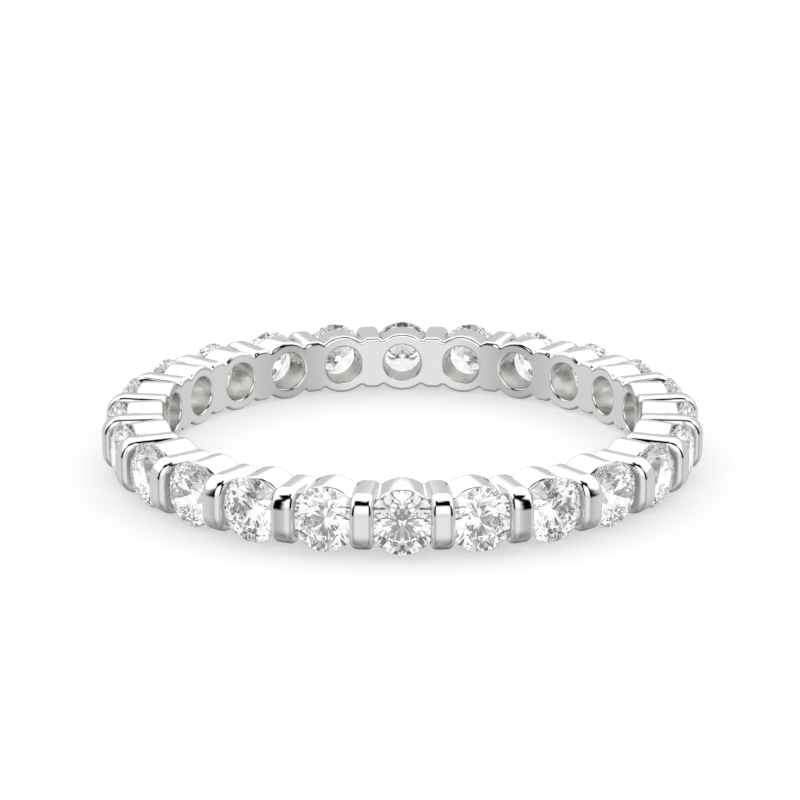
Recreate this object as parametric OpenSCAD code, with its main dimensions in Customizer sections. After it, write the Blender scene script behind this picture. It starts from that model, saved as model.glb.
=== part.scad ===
// Bar set eternity band: a full circle of round brilliants. Each stone sits in an open collet and is
// held on its two sides by upright bars that it shares with its neighbours.
// The ring lies on its side: its axis is +Z, and the origin is on the floor under its centre.

/* [Band] */
// Inner diameter, where the finger goes
finger_d = 16.5; // [16.5:0.25:19]
// Height of the low rail that joins collets and bars at the finger
rail_h = 1.66; // [1.5:0.02:1.8]
// Thickness of that rail
rail_t = 0.4; // [0.3:0.05:0.6]

/* [Stones] */
// Number of stones, with as many collets and bars
stone_count = 24; // [22:1:24]
// Girdle diameter of one stone
stone_d = 2.19; // [2.1:0.01:2.19]
// Height of the girdle's middle over the finger's surface
girdle_lift = 1.57; // [1.5:0.01:1.6]
// Thickness of the girdle at its thickest
girdle_t = 0.06; // [0.05:0.005:0.08]
// Table width as a part of the girdle diameter
table_part = 0.57; // [0.53:0.01:0.62]
// Slope of the kite facets of the crown
crown_angle = 34.5; // [32:0.5:36]
// Slope of the main facets of the pavilion
pavilion_angle = 40.75; // [40:0.25:42]
// How far the star facets reach from the table's edge towards the girdle
star_part = 0.5; // [0.4:0.05:0.6]
// How far the lower girdle facets reach from the girdle towards the culet
lower_part = 0.77; // [0.7:0.01:0.85]
// Gap all round the stone, measured at the girdle
seat_gap = 0.03; // [0.02:0.005:0.04]

/* [Collets] */
// Outer radius at the finger
collet_foot_r = 1.07; // [1.04:0.01:1.07]
// Outer radius at the rim under the stone
collet_rim_r = 1.03; // [1:0.01:1.06]
// Height of the rim over the finger's surface
collet_h = 1.25; // [1.15:0.01:1.3]
// Broken edge round the rim
rim_edge = 0.05; // [0.02:0.01:0.08]
// Radius of the light hole drilled behind the stone
drill_r = 0.67; // [0.55:0.01:0.75]
// Broken edge of the light hole at the finger
mouth_edge = 0.03; // [0.01:0.01:0.06]

/* [Bars] */
// Width of a bar along the ring
bar_w = 0.7; // [0.6:0.01:0.75]
// Height of a bar along the ring's axis
bar_h = 1.89; // [1.8:0.01:2]
// How far a bar stands out from the finger's surface
bar_lift = 2.13; // [2.1:0.01:2.3]
// Radius of the two outer corners of a bar, seen from its side
bar_corner_r = 0.65; // [0.5:0.05:0.75]
// Broken edge along a bar's sides
bar_edge = 0.1; // [0.05:0.01:0.14]

/* [Hidden] */
$fn = 96;
finger_r = finger_d / 2;
pitch = 360 / stone_count;
stone_r = stone_d / 2;
ring_mid = stone_r;                     // the ring rests on its stones' girdles
past = 0.5;                             // how far a cutting shape runs past a surface

girdle_mid = finger_r + girdle_lift;
girdle_top = girdle_mid + girdle_t / 2;
girdle_low = girdle_mid - girdle_t / 2;

table_r = stone_r * table_part;
table_at = girdle_top + (stone_r - table_r) * tan(crown_angle);
culet_at = girdle_low - stone_r * tan(pavilion_angle);
half_main = 22.5;                       // from a main facet to the meeting point beside it
girdle_step = half_main / 2;            // the girdle has a corner at each of these
girdle_n = 360 / girdle_step;

table_flat_r = table_r * cos(half_main);
star_r = table_flat_r + star_part * (stone_r - table_flat_r);
star_at = girdle_top + (stone_r - star_r * cos(half_main)) * tan(crown_angle);
lower_r = stone_r * (1 - lower_part);
lower_at = girdle_low - (stone_r - lower_r * cos(half_main)) * tan(pavilion_angle);

rim_at = finger_r + collet_h;
bar_face = finger_r + bar_lift;

function two_digits(k) = str(k < 10 ? "0" : "", k);
function stone_name(k) = str("stone_", two_digits(k));

// Points of an arc from one angle to another
function arc(centre, r, from, to, steps) =
    [for (i = [0:steps]) let (a = from + (to - from) * i / steps) centre + r * [cos(a), sin(a)]];

// A point of the stone, at an angle round its axis, a radius and a height over the ring's axis
function at(angle, r, z) = [r * cos(angle), r * sin(angle), z];

// How far a girdle facet falls between its two corners, because it is flat and the girdle is round
function scallop(r, rise) =
    stone_r * (1 - cos(girdle_step)) * rise / ((stone_r - r) * cos(girdle_step));

// Stands what is built along +Z out from the ring's centre, in the given direction. Zero is the front.
module outward(angle) {
    translate([0, 0, ring_mid]) rotate([0, 0, angle]) rotate([90, 0, 0]) children();
}

// Round brilliant: table, 8 stars, 8 kites, 16 upper girdle facets, a scalloped girdle,
// 16 lower girdle facets and 8 mains that meet in the culet
module brilliant() {
    top_dip = scallop(star_r, star_at - girdle_top);
    low_dip = scallop(lower_r, girdle_low - lower_at);
    eighths = [for (k = [0:7]) k];
    corners = [for (i = [0:girdle_n - 1]) i];

    table = [for (k = eighths) at(k * 45, table_r, table_at)];
    stars = [for (k = eighths) at(k * 45 + half_main, star_r, star_at)];
    upper = [for (i = corners) at(i * girdle_step, stone_r, girdle_top - (i % 2) * top_dip)];
    lower = [for (i = corners) at(i * girdle_step, stone_r, girdle_low + (i % 2) * low_dip)];
    halves = [for (k = eighths) at(k * 45 + half_main, lower_r, lower_at)];
    culet = [[0, 0, culet_at]];

    // Index of a point in each row above
    t = function(k) k % 8;
    s = function(k) 8 + k % 8;
    u = function(i) 16 + i % girdle_n;
    w = function(i) 16 + girdle_n + i % girdle_n;
    h = function(k) 16 + 2 * girdle_n + k % 8;
    c = 24 + 2 * girdle_n;

    polyhedron(
        points = concat(table, stars, upper, lower, halves, culet),
        faces = concat(
            [[for (k = eighths) t(7 - k)]],
            [for (k = eighths) [t(k), t(k + 1), s(k)]],
            [for (k = eighths) [t(k), s(k), u(4 * k), s(k + 7)]],
            [for (k = eighths, j = [0, 2]) [s(k), u(4 * k + j + 2), u(4 * k + j + 1), u(4 * k + j)]],
            [for (i = corners) [u(i), u(i + 1), w(i + 1), w(i)]],
            [for (k = eighths, j = [0, 2]) [h(k), w(4 * k + j), w(4 * k + j + 1), w(4 * k + j + 2)]],
            [for (k = eighths) [c, h(k + 7), w(4 * k), h(k)]]
        )
    );
}

// Collet: a short turned cup, a little narrower at its rim, which ends under the stone's girdle.
// It starts just inside the finger's surface, short of where it would meet its neighbours.
module collet() {
    start = 0.06;
    taper = (collet_foot_r - collet_rim_r) / collet_h;
    rotate_extrude() polygon([
        [0, finger_r - start],
        [collet_foot_r + taper * start, finger_r - start],
        [collet_rim_r, rim_at - rim_edge],
        [collet_rim_r - rim_edge, rim_at],
        [0, rim_at],
    ]);
}

// What is cut for one stone: the light hole with its broken edge at the finger, the seat under the
// pavilion, and the notch that the girdle needs in the bar on either side. The two cones have the
// slopes at which the stone stands out furthest, where its facets meet in pairs.
module stone_seat() {
    mouth_at = finger_r + mouth_edge;
    mouth_h = 4 * mouth_edge;
    seat_r = stone_r + seat_gap;
    seat_slope = (girdle_low - lower_at) / (stone_r - lower_r);
    crown_slope = (star_at - girdle_top) / (stone_r - star_r);
    seat_low = girdle_low - (seat_r - drill_r) * seat_slope;
    clear_top = girdle_top + (seat_r - table_r) * crown_slope;
    rotate_extrude() polygon([
        [0, mouth_at - mouth_h],
        [drill_r + mouth_h, mouth_at - mouth_h],
        [drill_r, mouth_at],
        [drill_r, seat_low],
        [seat_r, girdle_low],
        [seat_r, girdle_top],
        [table_r, clear_top],
        [0, clear_top],
    ]);
}

// Bar: an upright slab with two round outer corners and broken side edges. It starts inside the
// finger's opening, where the band is trimmed to its inner diameter.
module bar() {
    foot = finger_r - past;
    half_w = bar_w / 2;
    half_h = bar_h / 2;
    corner_at = bar_face - bar_corner_r;
    corner_up = half_h - bar_corner_r;
    corner_steps = 8;
    side = concat(
        [[foot, -half_h]],
        arc([corner_at, -corner_up], bar_corner_r, -90, 0, corner_steps),
        arc([corner_at, corner_up], bar_corner_r, 0, 90, corner_steps),
        [[foot, half_h]]
    );
    plan = [
        [-half_w, foot], [half_w, foot],
        [half_w, bar_face - bar_edge], [half_w - bar_edge, bar_face],
        [bar_edge - half_w, bar_face], [-half_w, bar_face - bar_edge],
    ];
    end_view = [
        [half_w - bar_edge, -half_h], [half_w, bar_edge - half_h],
        [half_w, half_h - bar_edge], [half_w - bar_edge, half_h],
        [bar_edge - half_w, half_h], [-half_w, half_h - bar_edge],
        [-half_w, bar_edge - half_h], [bar_edge - half_w, -half_h],
    ];
    intersection() {
        rotate([0, -90, 0]) linear_extrude(height = bar_w, center = true) polygon(side);
        rotate([90, 0, 0]) linear_extrude(height = bar_h, center = true) polygon(plan);
        translate([0, 0, foot]) linear_extrude(height = bar_face - foot) polygon(end_view);
    }
}

// Rail: the plain hoop at the finger that the collets and bars are soldered to
module rail() {
    translate([0, 0, ring_mid]) cylinder(r = finger_r + rail_t, h = rail_h, center = true);
}

// Finger's opening. Its seam is put behind a bar, where the wall is whole.
module finger_hole() {
    rotate([90, 0, 0]) cylinder(r = finger_r, h = stone_d + 2 * past, center = true);
}

// The metal is one soldered solid
module band() {
    color("gainsboro") difference() {
        union() {
            rail();
            for (k = [0:stone_count - 1]) {
                outward(k * pitch) collet();
                outward((k + 0.5) * pitch) bar();
            }
        }
        outward(pitch / 2) finger_hole();
        for (k = [0:stone_count - 1]) outward(k * pitch) stone_seat();
    }
}

// Stone number k, counted from the front
module stone(k) {
    color("aliceblue") outward((k - 1) * pitch) brilliant();
}

band();
for (k = [1:stone_count]) stone(k);
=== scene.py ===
# A bar set band: 24 round brilliants between upright bars, all the way round. It lies on its side.
from math import acos, atan2, cos, degrees, hypot, pi, radians, sin, sqrt

import bmesh
import bpy
from mathutils import Euler, Matrix, Vector


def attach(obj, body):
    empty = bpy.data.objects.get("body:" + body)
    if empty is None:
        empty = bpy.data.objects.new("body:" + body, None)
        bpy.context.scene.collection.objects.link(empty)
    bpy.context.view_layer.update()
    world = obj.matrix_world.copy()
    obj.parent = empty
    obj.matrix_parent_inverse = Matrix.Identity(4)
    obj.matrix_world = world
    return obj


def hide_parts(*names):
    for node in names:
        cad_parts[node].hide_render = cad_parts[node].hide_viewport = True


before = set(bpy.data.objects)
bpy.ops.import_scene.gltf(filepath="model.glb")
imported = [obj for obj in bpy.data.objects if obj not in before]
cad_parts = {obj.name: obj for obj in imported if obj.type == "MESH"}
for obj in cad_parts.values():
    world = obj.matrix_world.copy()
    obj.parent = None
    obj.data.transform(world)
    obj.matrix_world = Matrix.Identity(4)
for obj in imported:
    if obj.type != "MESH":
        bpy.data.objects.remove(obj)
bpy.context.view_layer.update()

# Camera: that of a product shot, with a long lens and far off. It looks down on the ring from the front and
# is exactly in line with the front stone. Its place is the one fitted to the photograph.
scene = bpy.context.scene
mm = 0.001
ring_mid = 1.095                      # the ring's middle plane is this high over the floor
camera_down = radians(17.61)
camera_off = 137.3

lens = bpy.data.cameras.new("camera")
lens.lens = 178.5
lens.sensor_width = 36
lens.shift_x = -0.0029
lens.shift_y = 0.0385
lens.clip_start = 0.005
lens.clip_end = 20
camera = bpy.data.objects.new("camera", lens)
scene.collection.objects.link(camera)
camera.location = Vector((0, -camera_off * cos(camera_down), ring_mid + camera_off * sin(camera_down))) * mm
camera.rotation_euler = Euler((pi / 2 - camera_down, 0, 0))
scene.camera = camera

# Band: all the metal, that is 24 short cups with a light hole each, and the 24 bars between them that hold
# the stones. It is cast in white gold, soldered into one, and polished until no edge is left sharp.
finger_r = 8.25
stone_count = 24
half_pitch = radians(180 / stone_count)
cup_foot_r, cup_rim_r = 1.07, 1.02    # outer radius of a cup at the finger and under the stone
cup_h = 1.25
rim_round = 0.09
hole_r, mouth_round = 0.67, 0.07
foot_round = 0.13                     # the long edge all round the finger's opening
bar_foot_half, bar_half = 0.43, 0.39  # half the width of a bar at the finger, and from the cups' rims on
bar_half_h = 0.945
bar_face_at = 10.38
bar_corner = 0.65                     # the two outer corners, seen from the bar's side
bar_foot_edge, bar_edge = 0.30, 0.22  # rounding of a bar's long edges at the finger and further out
foot_nook, rim_nook = 0.09, 0.045     # solder in the nook between cup and bar, at the finger and at the rim
seat_r, girdle_low, girdle_top = 1.125, 9.79, 9.85
seat_slope, crown_slope = 0.881, 0.856    # of the seat under the girdle and of the notch over it
hold = 0.02                           # a row this far from a rounding keeps the flat beside it flat

rim_at = finger_r + cup_h
side_from = finger_r + foot_round
side_rows = (8.62, 8.86, 9.1, 9.3)    # rows of the upper side between finger and rim
corner_from = bar_face_at - bar_corner
cup_steps, nook_steps, edge_steps = 7, 3, 5
mouth_steps, foot_steps, rim_steps, corner_steps = 3, 6, 3, 8
settle_rounds = 4


def mix(a, b, share):
    return a + (b - a) * share


def share_up(at):
    """How far a place is from the finger, 0, to the cups' rims, 1."""
    return min(1, max(0, (at - finger_r) / cup_h))


def depth(at, x):
    """A surface that is round like the finger at the finger, and flat across at the cups' rims."""
    return at - (at - sqrt(at * at - x * x)) * (1 - share_up(at))


def across(at, u):
    """How far from the cup's middle a place is that lies u from the bar's middle."""
    x = at * sin(half_pitch) + u
    for _ in range(settle_rounds):
        x = (depth(at, x) * sin(half_pitch) + u) / cos(half_pitch)
    return x


def outline(at, inset=0.0, shrink=0.0):
    """Half of a cup's and half of a bar's upper edge, from the cup's top to the bar's middle, at one
    distance from the finger. inset moves the whole line into the metal, shrink only the cup."""
    up = share_up(at)
    cup_r = mix(cup_foot_r, cup_rim_r, up ** 2) - shrink
    half_w = mix(bar_foot_half, bar_half, up)
    edge = mix(bar_foot_edge, bar_edge, up)
    nook = mix(foot_nook, rim_nook, up)
    side_x = across(at, -half_w)
    edge_x, edge_z = across(at, edge - half_w), bar_half_h - edge
    # The nook touches the cup, and below it the bar's side, or its rounded edge where no side is left
    nook_x = side_x - nook
    nook_z = sqrt((cup_r + nook) ** 2 - nook_x ** 2)
    edge_from = 0.0
    if nook_z > edge_z:
        a, b, far = cup_r + nook, edge + nook, hypot(edge_x, edge_z)
        bend = acos((a * a + far * far - b * b) / (2 * a * far))
        along = atan2(edge_z, edge_x) + bend
        nook_x, nook_z = a * cos(along), a * sin(along)
        edge_from = atan2(nook_z - edge_z, edge_x - nook_x)
    lean = atan2(nook_x, nook_z)
    points = []
    for i in range(cup_steps + 1):
        a = lean * i / cup_steps
        points.append(((cup_r - inset) * sin(a), (cup_r - inset) * cos(a)))
    for i in range(1, nook_steps + 1):
        a = mix(-pi / 2 - lean, -edge_from, i / nook_steps)
        points.append((nook_x + (nook + inset) * cos(a), nook_z + (nook + inset) * sin(a)))
    low_z = points[-1][1]
    points.append((edge_x - (edge - inset) * cos(edge_from),
                   max(low_z, edge_z - hold) if edge_from == 0 else low_z))
    for i in range(edge_steps + 1):
        a = mix(edge_from, pi / 2, i / edge_steps)
        points.append((edge_x - (edge - inset) * cos(a), edge_z + (edge - inset) * sin(a)))
    points.append((across(at, 0), bar_half_h - inset))
    return points


def standing(points, at):
    """Places in the scene for the points of an outline."""
    return [Vector((x, -depth(at, x), z)) for x, z in points]


def in_bar(u, v, z):
    """A place given by the bar's own middle and outward direction."""
    return Vector((v * sin(half_pitch) + u * cos(half_pitch), u * sin(half_pitch) - v * cos(half_pitch), z))


def row(bm, places):
    """A chain of joined vertices."""
    verts = [bm.verts.new(p) for p in places]
    for pair in zip(verts, verts[1:]):
        bm.edges.new(pair)
    return verts


def pull(bm, verts, places):
    """Draws a chain out into a strip of faces and puts its far side at the places given."""
    edges = [bm.edges.get(pair) for pair in zip(verts, verts[1:])]
    drawn = bmesh.ops.extrude_edge_only(bm, edges=edges)["geom"]
    fresh = {g for g in drawn if isinstance(g, bmesh.types.BMVert)}
    ends = [next(e.other_vert(v) for e in v.link_edges if e.other_vert(v) in fresh) for v in verts]
    for v, p in zip(ends, places):
        v.co = p
    return ends


bm = bmesh.new()
cup_part = cup_steps + nook_steps     # chain places that belong to the cup
bar_part = 1 + (edge_steps + 1) + 1   # and to the bar, up to its middle
wall_part = 5                         # down the bar's middle to the ring's middle plane
hole_part = cup_part + bar_part + wall_part


def ring_row(r, at):
    """A quarter of a circle round the light hole."""
    angles = [pi / 2 * i / hole_part for i in range(hole_part + 1)]
    return standing([(r * sin(a), r * cos(a)) for a in angles], at)


# The light hole, from the seat's upper edge down to the finger and out over its rounded mouth
seat_low = girdle_low - (seat_r - hole_r) * seat_slope
seat_edge = row(bm, ring_row(seat_r - (girdle_low - rim_at) / seat_slope, rim_at))
verts = pull(bm, seat_edge, ring_row(hole_r, seat_low))
verts = pull(bm, verts, ring_row(hole_r, seat_low - hold))
verts = pull(bm, verts, ring_row(hole_r, finger_r + mouth_round + hold))
for i in range(mouth_steps + 1):
    a = pi / 2 * i / mouth_steps
    at = finger_r + mouth_round * (1 - sin(a))
    verts = pull(bm, verts, ring_row(hole_r + mouth_round * (1 - cos(a)), at))
verts = pull(bm, verts, ring_row(hole_r + mouth_round + hold, finger_r))
# The finger's wall, out to the rounded edge, which follows cups and bars
inner = outline(finger_r, foot_round + hold)
wall = [(inner[-1][0], inner[-1][1] * (1 - i / wall_part)) for i in range(1, wall_part + 1)]
verts = pull(bm, verts, standing(inner + wall, finger_r))
verts = verts[:len(inner)]
for i in range(foot_steps, -1, -1):
    a = pi / 2 * i / foot_steps
    at = finger_r + foot_round * (1 - sin(a))
    verts = pull(bm, verts, standing(outline(at, foot_round * (1 - cos(a))), at))
# The upper side of cup and bar, as far as the cup's rim, and the rim's rounding
for at in (side_from + hold, *side_rows, rim_at - rim_round - hold, rim_at - rim_round):
    verts = pull(bm, verts, standing(outline(at), at))
for i in range(1, rim_steps + 1):
    a = pi / 2 * i / rim_steps
    at = rim_at - rim_round * (1 - sin(a))
    verts = pull(bm, verts, standing(outline(at, 0, rim_round * (1 - cos(a))), at))
# The flat of the rim, from the seat's upper edge to the cup's edge and the bar's side
top = outline(rim_at, 0, rim_round)
side_x, side_z = top[cup_part]
side_part = bar_part + wall_part
side_row = [(side_x, side_z * (1 - i / side_part)) for i in range(1, side_part + 1)]
flat = pull(bm, seat_edge, standing(top[:cup_part + 1] + side_row, rim_at))
# The bar from there outwards: over its round corner and down its face to the middle plane
past_rim = 0.12                       # the first row of the bar beyond the cups' rims
face_row = 0.93                       # a row this far up the face keeps it flat under the corner
least_span = 1e-6                     # of the flat side, so that nothing is divided by 0
side_v = in_bar(0, 1, 0).dot(Vector((side_x, -rim_at, 0)))
up_row, low_row = verts[cup_part:], flat[cup_part:]
low_share = [v.co.z / (bar_half_h - bar_edge) for v in low_row]
path = [(rim_at + past_rim, bar_half_h, 0.0), (corner_from - hold, bar_half_h, 0.0)]
for i in range(corner_steps + 1):
    a = pi / 2 * i / corner_steps
    path.append((corner_from + bar_corner * sin(a), bar_half_h - bar_corner + bar_corner * cos(a), a))
path += [(bar_face_at, (bar_half_h - bar_corner) * share, pi / 2) for share in (face_row, 0.0)]


def sunk(v, z, lean, d):
    """A place on the bar's outline, seen from its side, moved into the metal."""
    return v - d * sin(lean), z - d * cos(lean)


def on_side(end_at, edge_at, share):
    """A place on the bar's flat side, between its middle plane and its rounded edge."""
    return in_bar(-bar_half, mix(end_at[0], edge_at[0], share), mix(end_at[1], edge_at[1], share))


for j, place in enumerate(path):
    edge_at = sunk(*place, bar_edge)
    end_at = (mix(side_v, bar_face_at - bar_edge, (j + 1) / len(path)), 0.0)
    span = max(least_span, hypot(edge_at[0] - end_at[0], edge_at[1] - end_at[1]))
    shares = (low_share[0], max(low_share[0], 1 - hold / span))
    places = [on_side(end_at, edge_at, share) for share in shares]
    for i in range(edge_steps + 1):
        a = pi / 2 * i / edge_steps
        u = bar_edge - bar_half - bar_edge * cos(a)
        places.append(in_bar(u, *sunk(*place, bar_edge * (1 - sin(a)))))
    places.append(in_bar(0, *place[:2]))
    up_row = pull(bm, up_row, places)
    low_row = pull(bm, low_row, [on_side(end_at, edge_at, share) for share in low_share])

merge, sliver = 1e-4, 1e-5            # corners this near are one, and edges this short are taken out


def doubled(bm, axis):
    """Adds a copy mirrored through the middle plane across an axis."""
    bmesh.ops.mirror(bm, geom=bm.verts[:] + bm.edges[:] + bm.faces[:], matrix=Matrix.Identity(4),
                     merge_dist=0.0, axis=axis)


def all_round(bm):
    """Repeats what is built for the front stone at all the others."""
    bmesh.ops.spin(bm, geom=bm.verts[:] + bm.edges[:] + bm.faces[:], cent=(0, 0, 0), axis=(0, 0, 1),
                   dvec=(0, 0, 0), angle=2 * half_pitch * (stone_count - 1), steps=stone_count - 1,
                   use_duplicate=True)
    bmesh.ops.remove_doubles(bm, verts=bm.verts, dist=merge)
    bmesh.ops.dissolve_degenerate(bm, dist=sliver, edges=bm.edges)
    bmesh.ops.recalc_face_normals(bm, faces=bm.faces)


def made(bm, name):
    """Ends a piece: its mesh and its object, in the scene."""
    mesh = bpy.data.meshes.new(name)
    bm.to_mesh(mesh)
    bm.free()
    piece = bpy.data.objects.new(name, mesh)
    scene.collection.objects.link(piece)
    return piece


doubled(bm, "Z")
doubled(bm, "X")
all_round(bm)
uncut = made(bm, "uncut_band")

# The notches in the bars' sides, which the stones' girdles need, are turned with one cutter for each stone
notch_from, table_r = 9.55, 0.624
cutter_end = girdle_top + (seat_r - table_r) * crown_slope
cutter_steps = 64
bm = bmesh.new()
row(bm, [Vector((r, -v, 0)) for r, v in (
    (0, notch_from), (seat_r - (girdle_low - notch_from) / seat_slope, notch_from), (seat_r, girdle_low),
    (seat_r, girdle_top), (table_r, cutter_end), (0, cutter_end))])
bmesh.ops.spin(bm, geom=bm.verts[:] + bm.edges[:], cent=(0, 0, 0), axis=(0, 1, 0), dvec=(0, 0, 0),
               angle=2 * pi, steps=cutter_steps, use_merge=True)
all_round(bm)
cutters = made(bm, "cutters")
cut = uncut.modifiers.new("notches", "BOOLEAN")
cut.operation, cut.solver, cut.object = "DIFFERENCE", "EXACT", cutters
bm = bmesh.new()
bm.from_object(uncut, bpy.context.evaluated_depsgraph_get())
for piece in (uncut, cutters):
    bpy.data.objects.remove(piece)
bmesh.ops.remove_doubles(bm, verts=bm.verts, dist=merge)
bmesh.ops.recalc_face_normals(bm, faces=bm.faces)
sharp_from = radians(38)
for face in bm.faces:
    face.smooth = True
for edge in bm.edges:
    edge.smooth = edge.calc_face_angle(pi) < sharp_from

# The light holes are left as drilled and the bars' sides and notches as sawn, which makes them rougher. The
# mesh marks both, each vertex by where it lies from its stone's middle and from its bar's. The marks also
# paint light into the holes' colour, and shade onto the bars' sides and notches beside the stones.
hole_slack, side_slack, notch_slack, rim_slack, edge_slack = 0.001, 0.003, 0.002, 0.005, 0.02
drilled = bm.verts.layers.float.new("drilled")
sawn_and_painted_shade = bm.verts.layers.float.new("sawn_and_painted_shade")
for vert in bm.verts:
    angle = atan2(vert.co.x, -vert.co.y)
    angle -= round(angle / (2 * half_pitch)) * 2 * half_pitch
    from_axis = hypot(vert.co.x, vert.co.y)
    from_stone = hypot(from_axis * sin(angle), vert.co.z)
    outwards = from_axis * cos(angle)
    # This mark also paints light into the holes' colour.
    vert[drilled] = from_stone < hole_r + hole_slack and from_axis < seat_low + hole_slack
    beside_bar = abs(from_axis * sin(half_pitch - abs(angle)) - bar_half) < side_slack
    in_notch = from_stone < seat_r + notch_slack and outwards < bar_face_at - bar_edge - edge_slack
    # This mark also paints shade onto the bars' sides and notches, where they face the stones.
    vert[sawn_and_painted_shade] = outwards > rim_at + rim_slack and (beside_bar or in_notch)
bmesh.ops.translate(bm, verts=bm.verts, vec=(0, 0, ring_mid))
bmesh.ops.scale(bm, verts=bm.verts, vec=(mm, mm, mm))
band = made(bm, "polished_band")


class Value:
    """A socket of a material, with the operators that are used on it."""

    def __init__(self, tree, socket):
        self.tree, self.socket = tree, socket

    def math(self, kind, *others):
        return node(self.tree, "ShaderNodeMath", {"operation": kind}, dict(enumerate((self,) + others)))

    def __add__(self, other): return self.math("ADD", other)
    def __sub__(self, other): return self.math("SUBTRACT", other)
    def __mul__(self, other): return self.math("MULTIPLY", other)
    def __truediv__(self, other): return self.math("DIVIDE", other)
    __radd__ = __add__
    __rmul__ = __mul__

    def __rsub__(self, other):
        return node(self.tree, "ShaderNodeMath", {"operation": "SUBTRACT"}, {0: other, 1: self})

    def ramp(self, low, high):
        """0 below low, 1 above high, and smooth between."""
        return node(self.tree, "ShaderNodeMapRange", {"interpolation_type": "SMOOTHSTEP"},
                    {"Value": self, "From Min": low, "From Max": high})


def node(tree, kind, settings=None, sockets=None, out=0):
    """Adds a node: its settings first, then the values or links of its sockets."""
    added = tree.nodes.new(kind)
    for name, value in (settings or {}).items():
        setattr(added, name, value)
    for name, value in (sockets or {}).items():
        if isinstance(value, Value):
            tree.links.new(value.socket, added.inputs[name])
        else:
            added.inputs[name].default_value = value
    return Value(tree, added.outputs[out])


def surface(name, **sockets):
    """A material with one Principled shader. What the sockets hold may be made from its own tree."""
    material = bpy.data.materials.new(name)
    material.use_nodes = True
    tree = material.node_tree
    shader = tree.nodes["Principled BSDF"]
    for key, value in sockets.items():
        key = key.replace("_", " ")
        value = value(tree) if callable(value) else value
        if isinstance(value, Value):
            tree.links.new(value.socket, shader.inputs[key])
        else:
            shader.inputs[key].default_value = value
    return material


def blend(tree, share, first, second):
    """One colour where share is 0, another where it is 1."""
    return node(tree, "ShaderNodeMix", {"data_type": "RGBA"}, {0: share, 6: first, 7: second}, out=2)


def cloud(tree, scale, size, detail):
    """Soft uneven patches, fixed to the piece."""
    where = node(tree, "ShaderNodeTexCoord", out=3)
    where = node(tree, "ShaderNodeMapping", {}, {"Vector": where, "Scale": (scale, scale, scale)})
    return node(tree, "ShaderNodeTexNoise", {}, {"Vector": where, "Scale": size, "Detail": detail})


def marked(tree, name):
    """How much of a finish there is, as the mesh marks it."""
    return node(tree, "ShaderNodeAttribute", {"attribute_name": name}, out=2)


polished_gold = (0.740, 0.741, 0.727, 1), (0.760, 0.761, 0.747, 1)
# The holes' gold is lighter than the polished gold: painted light in the light holes. The sawn gold is
# darker: painted shade beside the stones.
drilled_gold, painted_shade_side_gold = (0.88, 0.88, 0.865, 1), (0.66, 0.66, 0.65, 1)
flat_angle_tint = (0.85, 0.85, 0.85, 1)    # the metal mirrors a little less at a very flat angle
polish_rough, swirl_rough, drilled_rough, sawn_rough = 0.05, 0.03, 0.22, 0.4
gold_patches, polish_swirls = (180.0, 3.0, 3.0), (900.0, 2.0, 4.0)    # scale, size and detail of each


def gold_colour(tree):
    polished = blend(tree, cloud(tree, *gold_patches), *polished_gold)
    # Painted light: lighter gold in the light holes.
    unsawn = blend(tree, marked(tree, "drilled"), polished, drilled_gold)
    # Painted shade: darker gold on the bars' sides and notches beside the stones.
    return blend(tree, marked(tree, "sawn_and_painted_shade"), unsawn, painted_shade_side_gold)


def gold_roughness(tree):
    swirl = cloud(tree, *polish_swirls) * swirl_rough
    return swirl + polish_rough + marked(tree, "drilled") * drilled_rough + marked(tree, "sawn_and_painted_shade") * sawn_rough


white_gold = surface("polished_white_gold", Metallic=1.0, Base_Color=gold_colour, Roughness=gold_roughness,
                     Specular_Tint=flat_angle_tint)
band.data.materials.append(white_gold)
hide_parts("band")
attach(band, "root")

# Stones: 24 round brilliants, each over a cup and held in a notch of the bar on either side. They are cut
# diamonds, clear and colourless, with the flat facets of the solids. Pale blue and pale yellow patches are
# painted into
# their colour as painted fire: coloured glints in place of the light that the stones split.
# Painted fire: pale blue and pale yellow glints painted into the stones' colour.
painted_fire_tints = (0.920, 0.935, 0.945, 1), (0.955, 0.950, 0.925, 1)
fire_tint_patches = (400.0, 2.0, 2.0)


def painted_fire_tint(tree):
    return blend(tree, cloud(tree, *fire_tint_patches), *painted_fire_tints)


diamond = surface("diamond", Base_Color=painted_fire_tint, Roughness=0.0, IOR=2.417, Transmission_Weight=1.0)
for k in range(1, stone_count + 1):
    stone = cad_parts[f"stone_{k:02d}"]
    stone.data.materials.clear()
    stone.data.materials.append(diamond)
    for face in stone.data.polygons:
        face.use_smooth = False

# Floor: the matt pale board that the ring lies on. The polished metal and the stones don't show it, and it
# glows a little, so that only a soft shadow shows on it.
board_half, board_grey, board_glow = 4.0, 0.58, 0.49
bm = bmesh.new()
bmesh.ops.create_grid(bm, x_segments=1, y_segments=1, size=board_half)
floor = made(bm, "floor")
floor.visible_glossy = False
floor.visible_transmission = False
board = surface("white_board", Base_Color=(board_grey, board_grey, board_grey, 1), Roughness=1.0,
                Specular_IOR_Level=0.0, Emission_Color=(1, 1, 1, 1), Emission_Strength=board_glow)
floor.data.materials.append(board)

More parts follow.
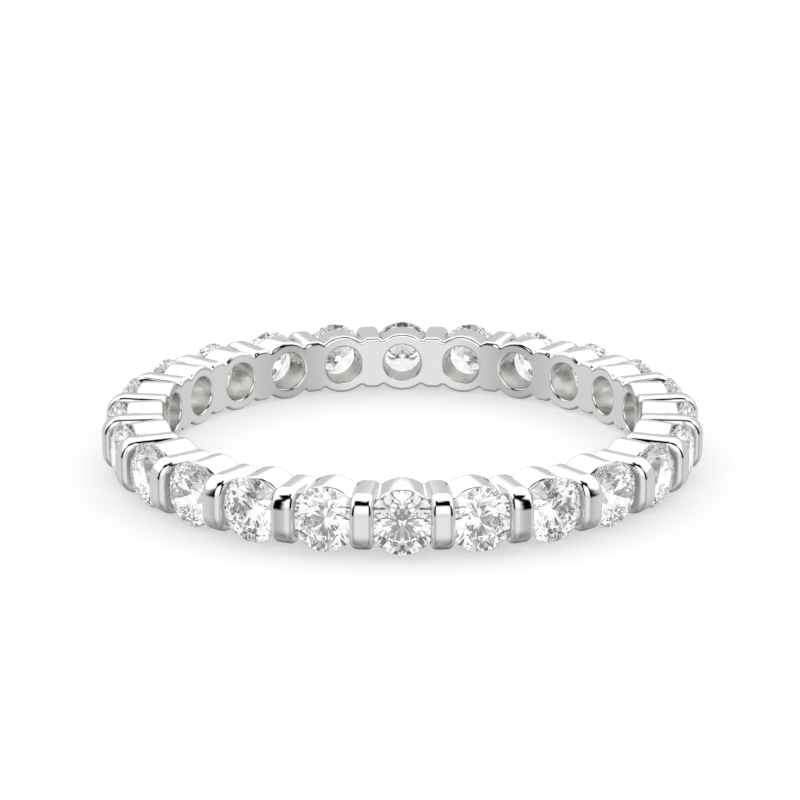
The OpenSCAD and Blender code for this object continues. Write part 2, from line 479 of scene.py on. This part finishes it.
# Light: a white tent that lights the ring from all sides, a little grey low down. In front it has a dark
# opening with a softbox in it, which gives the metal its black lines. Each pair of numbers in brackets
# is a stretch in degrees, to the side or up, over which the light goes from one value to the next.
tent_white, tent_grey, tent_white_at = 1.38, 0.825, (17.4, 22.4)
opening_edge, opening_edge_low = (66, 88), (72, 90)
opening_foot, opening_top = (0, 6), (76, 90)
narrower, narrower_at = 14, (25, 50)       # the opening gets narrower further up,
wider, wider_at = 30, (52, 62)             # and wider again near its top
softbox_low, softbox_white_at = 0.90, (-6, 26)
softbox_half_w, softbox_half_h = 43, 58
softbox_wider, softbox_wider_at = 5, (22, 38)
softbox_square = 4, 6                      # powers that make its outline a rounded square,
softbox_fade = 0.3, 1.2                    # and the shares of that outline between which it fades
ground_front, ground_side, ground_back = 1.02, 0.60, 0.85
ground_side_at, ground_back_at = (20, 56), (58, 90)
dim_below, dim_below_at = 0.5, (22, 60)
dim_behind, dim_behind_at, dim_behind_low = 0.45, (130, 165), (12, 45)
horizon_at = (-11, -1)

world = bpy.data.worlds.new("tent")
scene.world = world
world.use_nodes = True
tree = world.node_tree
tree.nodes.clear()
looking = node(tree, "ShaderNodeTexCoord", out=0)
axes = tree.nodes.new("ShaderNodeSeparateXYZ")
tree.links.new(looking.socket, axes.inputs[0])
dx, dy, dz = (Value(tree, axis) for axis in axes.outputs)
turn = dx.math("ABSOLUTE").math("ARCTAN2", 0 - dy) * degrees(1)    # 0 in front, 180 behind
lift = dz.math("ARCSINE") * degrees(1)
sink = 0 - lift

tent = mix(tent_grey, tent_white, lift.ramp(*tent_white_at))
side = turn + narrower * lift.ramp(*narrower_at) - wider * lift.ramp(*wider_at)
opening = (1 - side.ramp(*opening_edge) * lift.ramp(*opening_foot)) * (1 - side.ramp(*opening_edge_low))
opening = opening * (1 - lift.ramp(*opening_top))
sideways = turn / (softbox_half_w + softbox_wider * lift.ramp(*softbox_wider_at))
upwards = lift / softbox_half_h
from_middle = sideways.math("POWER", softbox_square[0]) + upwards.math("POWER", softbox_square[1])
softbox = 1 - from_middle.ramp(*softbox_fade)
front = softbox * mix(softbox_low, tent_white, lift.ramp(*softbox_white_at))
above = mix(tent, front, opening)
ground = mix(ground_front, ground_side, turn.ramp(*ground_side_at))
ground = ground + (ground_back - ground_side) * turn.ramp(*ground_back_at)
ground = ground * (1 - dim_below * sink.ramp(*dim_below_at))
ground = ground * (1 - dim_behind * turn.ramp(*dim_behind_at) * sink.ramp(*dim_behind_low))
bright = mix(ground, above, lift.ramp(*horizon_at))

# What falls through the stones has a brightness of its own: full, but dim in front below, which makes their
# facets stand out. The camera itself sees plain white behind the ring.
sparkle_full, below_from = 1.2, (8, 16)
dim_wide, dim_wide_to = 0.67, (27, 33)
dim_middle, dim_middle_to, dim_middle_from = 0.45, (12, 18), (-38, -32)
below = 1 - lift.ramp(*below_from)
sparkle = sparkle_full - dim_wide * below * (1 - turn.ramp(*dim_wide_to))
sparkle = sparkle - dim_middle * below * (1 - turn.ramp(*dim_middle_to)) * lift.ramp(*dim_middle_from)
ray = tree.nodes.new("ShaderNodeLightPath")
seen, through = (Value(tree, ray.outputs[name]) for name in ("Is Camera Ray", "Is Transmission Ray"))
strength = bright + seen * (tent_white - bright) + through * (sparkle - bright)
glow = node(tree, "ShaderNodeBackground", {}, {"Color": (1, 1, 1, 1), "Strength": strength})
world_out = tree.nodes.new("ShaderNodeOutputWorld")
tree.links.new(glow.socket, world_out.inputs["Surface"])

scene.view_settings.view_transform = "Standard"
scene.view_settings.look = "None"
bounces = 32                               # light is mirrored many times inside a stone before it leaves
scene.cycles.max_bounces = bounces
scene.cycles.glossy_bounces = bounces
scene.cycles.transmission_bounces = bounces
